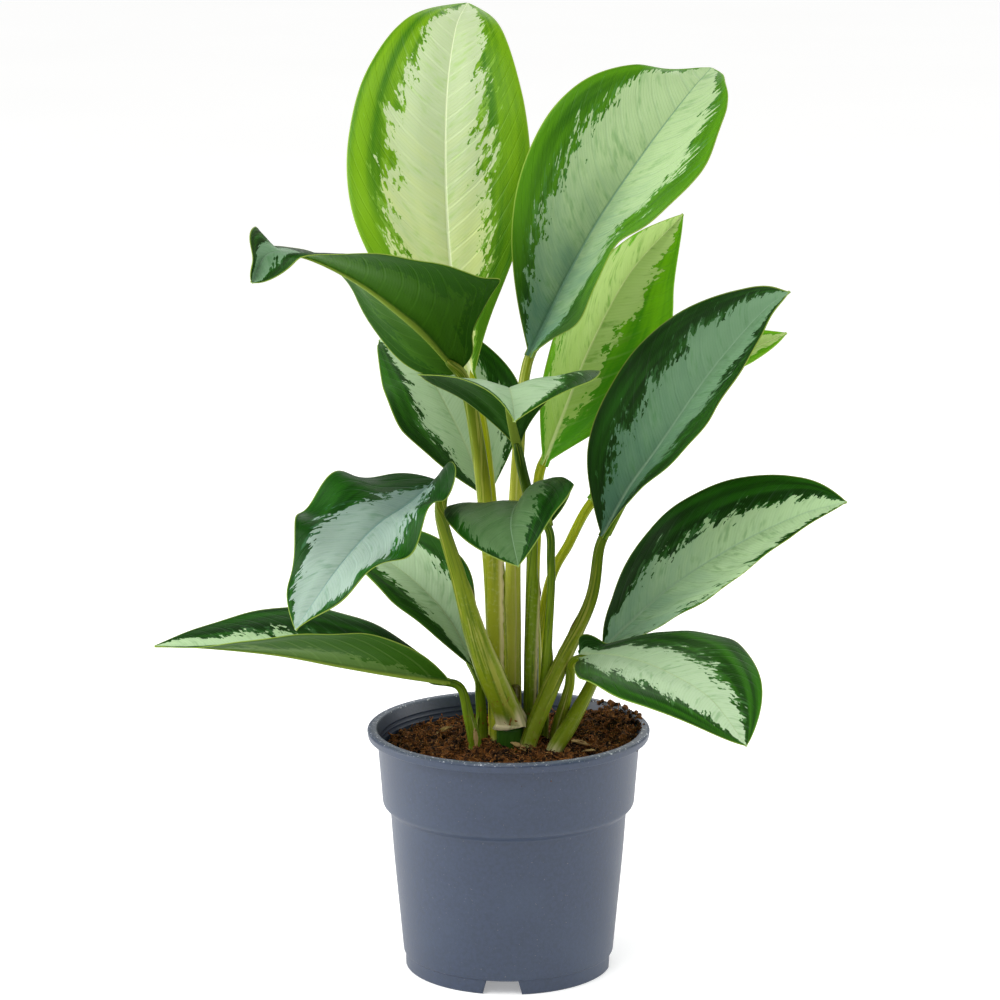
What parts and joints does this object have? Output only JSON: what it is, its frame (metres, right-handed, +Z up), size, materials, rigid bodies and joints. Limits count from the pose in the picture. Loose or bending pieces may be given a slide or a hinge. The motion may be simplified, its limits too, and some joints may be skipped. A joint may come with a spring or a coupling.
{
  "type": "potted chinese evergreen",
  "caption": "Chinese evergreen houseplant with broad silver-green variegated leaves on upright stalks, rooted in soil in a round plastic nursery pot.",
  "frame": {"origin": "on the pot's axis, in the flat plane that the pot stands on", "axes": "+Z up along the pot's axis, -Y towards the side seen first in front, +X to the right as seen from there"},
  "size_m": [0.4058, 0.2728, 0.5711],
  "materials": {
    "pale_leaf": "satin young leaf, cream centre and bright green margin",
    "mid_leaf": "satin leaf, sage centre and mid green margin",
    "dark_leaf": "satin leaf, silver green centre and dark green margin",
    "stalk_skin": "smooth pale olive stalk",
    "cane_skin": "smooth dark green cane",
    "pot_plastic": "blue-grey moulded plastic, slightly worn",
    "soil_crumb": "loose dry peat and coir"
  },
  "bodies": {
    "root": {"blade_top": "pale_leaf", "stalk_top": "stalk_skin", "blade_top_right": "mid_leaf", "stalk_top_right": "stalk_skin", "blade_upper_left": "dark_leaf", "stalk_upper_left": "stalk_skin", "blade_young": "pale_leaf", "stalk_young": "stalk_skin", "blade_right_upper": "dark_leaf", "stalk_right_upper": "stalk_skin", "blade_right_middle": "dark_leaf", "stalk_right_middle": "stalk_skin", "blade_right_lower": "dark_leaf", "stalk_right_lower": "stalk_skin", "blade_left_lowest": "dark_leaf", "stalk_left_lowest": "stalk_skin", "blade_left_drooping": "dark_leaf", "stalk_left_drooping": "stalk_skin", "blade_left_behind": "dark_leaf", "stalk_left_behind": "stalk_skin", "blade_front_upper": "dark_leaf", "stalk_front_upper": "stalk_skin", "blade_front_lower": "dark_leaf", "stalk_front_lower": "stalk_skin", "blade_back_left": "dark_leaf", "stalk_back_left": "stalk_skin", "blade_back_right": "dark_leaf", "stalk_back_right": "stalk_skin", "cane_main": "cane_skin", "cane_second": "cane_skin", "pot": "pot_plastic", "soil": "soil_crumb"}
  },
  "joints": []
}
